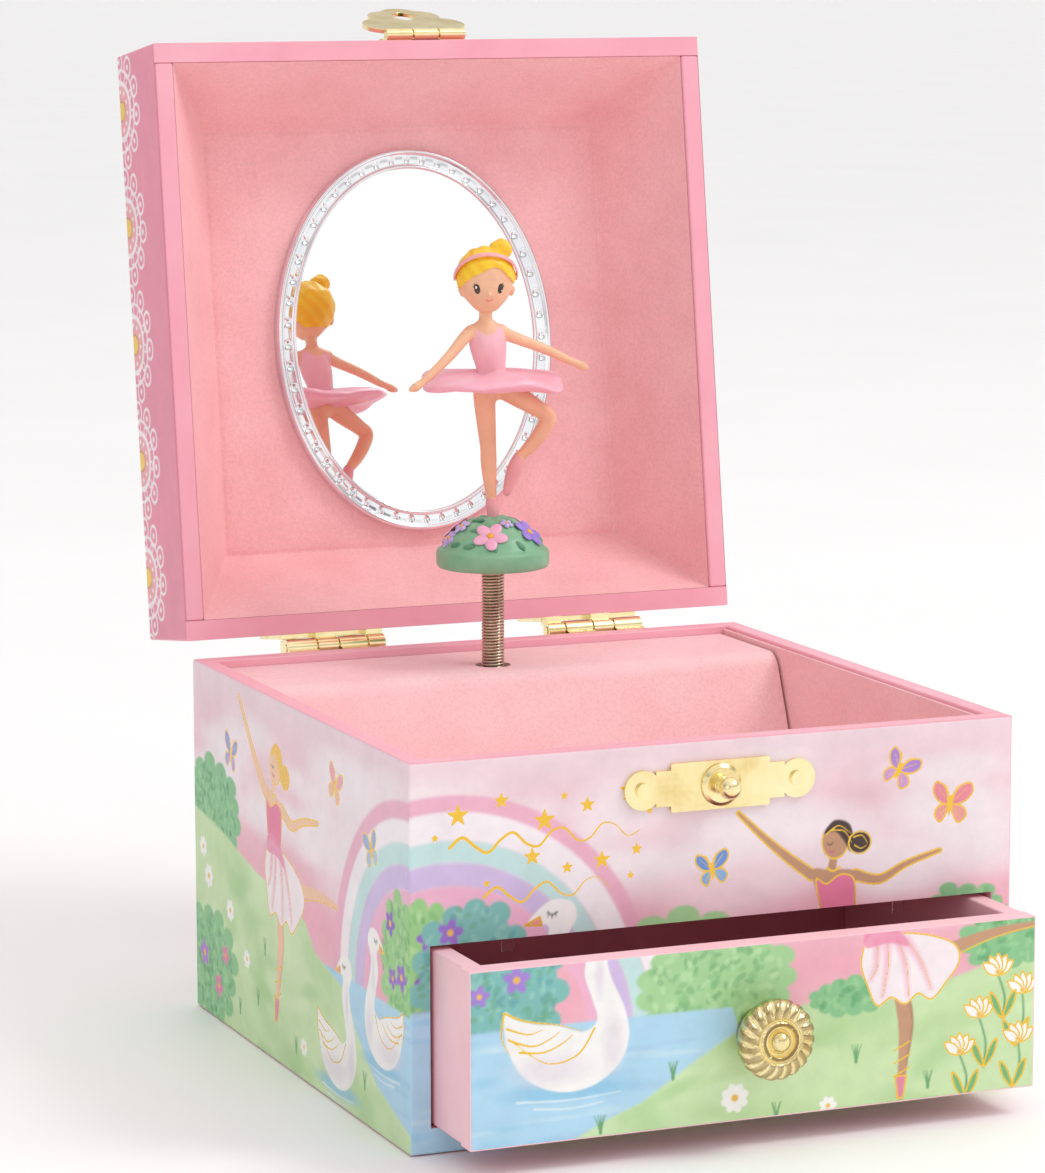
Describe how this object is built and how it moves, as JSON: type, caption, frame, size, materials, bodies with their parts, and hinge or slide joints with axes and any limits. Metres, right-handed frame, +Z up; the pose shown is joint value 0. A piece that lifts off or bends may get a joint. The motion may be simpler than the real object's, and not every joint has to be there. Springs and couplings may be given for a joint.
{
  "type": "musical jewellery box",
  "caption": "Square wooden musical jewellery box with a hinged mirror lid, a pull-out drawer, a hasp catch and a spinning ballerina on a folding spring.",
  "frame": {"origin": "middle of the underside of the box body, on the surface it stands on", "axes": "+Z up, +Y towards the back where the lid hinges are, +X to the right seen from the drawer side"},
  "size_m": [0.11, 0.1762, 0.1823],
  "materials": {
    "printed_scene_paper": "MDF board wrapped in printed satin paper with gold foil outlines",
    "printed_pink_paper": "MDF board wrapped in printed satin paper",
    "pink_flock": "card covered in short salmon-pink flock",
    "pink_paper": "MDF board wrapped in plain pink paper",
    "plain_board": "thin board, dark pink paper",
    "clear_plastic": "clear bent plastic strip",
    "polished_brass": "bright polished pale brass plate",
    "chromed_plastic": "vacuum-metallised plastic, bright",
    "mirror_glass": "silvered glass",
    "screw_steel": "zinc-plated steel screw",
    "spring_wire": "close-wound copper-coloured steel wire",
    "green_vinyl": "moulded vinyl, painted",
    "skin_vinyl": "moulded vinyl, painted",
    "pink_vinyl": "moulded vinyl",
    "movement_casting": "zinc casting",
    "bright_steel": "drawn or rolled steel",
    "blued_steel": "hardened steel strip",
    "movement_brass": "cut or cast brass",
    "white_nylon": "moulded nylon",
    "plated_key": "nickel-plated pressed steel"
  },
  "bodies": {
    "root": {"front_panel": "printed_scene_paper", "back_panel": "printed_pink_paper", "left_panel": "printed_pink_paper", "right_panel": "printed_pink_paper", "bottom_panel": "printed_pink_paper", "tray_floor": "pink_flock", "bay_partition": "plain_board", "tray_lining": "pink_flock", "movement_cover": "pink_flock", "cover_ledge": "plain_board", "drawer_stop_tabs": "clear_plastic", "catch_plate": "polished_brass", "catch_stud": "polished_brass", "body_nails": "polished_brass", "hinge_body_leaves": "polished_brass", "hinge_pins": "polished_brass", "bedplate": "movement_casting", "movement_screws": "screw_steel", "spring_barrel": "bright_steel", "mainspring": "blued_steel", "cylinder_bridge": "movement_casting", "comb": "bright_steel", "comb_pillar": "movement_casting", "governor_frame": "movement_casting"},
    "lid": {"lid_top_panel": "printed_pink_paper", "lid_front_wall": "printed_pink_paper", "lid_back_wall": "printed_pink_paper", "lid_left_wall": "printed_pink_paper", "lid_right_wall": "printed_pink_paper", "lid_liner_walls": "pink_flock", "lid_liner_panel": "pink_flock", "mirror_frame": "chromed_plastic", "mirror_glass": "mirror_glass", "hinge_lid_leaves": "polished_brass", "lid_nails": "polished_brass", "hasp_leaf": "polished_brass", "hasp_pin": "polished_brass"},
    "hasp": {"hasp_plate": "polished_brass"},
    "drawer": {"drawer_front": "printed_scene_paper", "drawer_left_side": "pink_paper", "drawer_right_side": "pink_paper", "drawer_back": "pink_paper", "drawer_bottom": "plain_board", "drawer_knob": "polished_brass", "knob_screw": "screw_steel"},
    "folding_spring": {"ballerina_spring": "spring_wire"},
    "ballerina": {"flower_base": "green_vinyl", "ballerina_figure": "skin_vinyl", "tutu": "pink_vinyl"},
    "cylinder": {"cylinder_pinion": "movement_brass", "spindle": "bright_steel", "music_cylinder": "movement_brass", "cylinder_gear": "movement_brass"},
    "winding": {"crown_wheel": "movement_brass", "key_arbor": "bright_steel", "winding_key": "plated_key"},
    "governor_wheel": {"governor_pinion": "movement_brass", "worm_wheel": "white_nylon"},
    "governor_fly": {"governor_worm": "white_nylon", "governor_fly": "white_nylon"}
  },
  "joints": [
    {"name": "lid_hinge", "type": "hinge", "parent": "root", "child": "lid", "pos_m": [0, 0.0577, 0.0652], "axis": [1, 0, 0], "range_deg": [0, 97.9]},
    {"name": "figure_fold", "type": "hinge", "parent": "root", "child": "folding_spring", "pos_m": [-0.0032, 0.036, 0.0667], "axis": [1, 0, 0], "range_deg": [0, 95.2], "deforming": ["ballerina_spring"]},
    {"name": "ballerina_spin", "type": "hinge", "parent": "folding_spring", "child": "ballerina", "pos_m": [-0.0032, 0.036, 0.0802], "axis": [0, 0, 1], "continuous": true},
    {"name": "drawer_slide", "type": "slide", "parent": "root", "child": "drawer", "axis": [0, -1, 0], "range_m": [-0.0162, 0.0411]},
    {"name": "hasp_hinge", "type": "hinge", "parent": "lid", "child": "hasp", "pos_m": [0, 0.07716, 0.17779], "axis": [1, 0, 0], "range_deg": [-18, 153.5]},
    {"name": "cylinder_turn", "type": "hinge", "parent": "root", "child": "cylinder", "pos_m": [-0.0032, 0.036, 0.04], "axis": [0, 0, 1], "continuous": true},
    {"name": "key_turn", "type": "hinge", "parent": "root", "child": "winding", "pos_m": [-0.0032, 0.055, 0.015], "axis": [0, 1, 0], "continuous": true},
    {"name": "governor_wheel_turn", "type": "hinge", "parent": "root", "child": "governor_wheel", "pos_m": [-0.01445, 0.036, 0.0376], "axis": [0, 0, 1], "continuous": true},
    {"name": "governor_fly_turn", "type": "hinge", "parent": "root", "child": "governor_fly", "pos_m": [-0.01885, 0.036, 0.0376], "axis": [0, 1, 0], "continuous": true}
  ],
  "couplings": [
    {"joint": "figure_fold", "follows": "lid_hinge", "ratio": 0.97038},
    {"joint": "ballerina_spin", "follows": "cylinder_turn", "ratio": 1},
    {"joint": "key_turn", "follows": "cylinder_turn", "ratio": -0.25},
    {"joint": "governor_wheel_turn", "follows": "cylinder_turn", "ratio": -4},
    {"joint": "governor_fly_turn", "follows": "cylinder_turn", "ratio": -64}
  ]
}
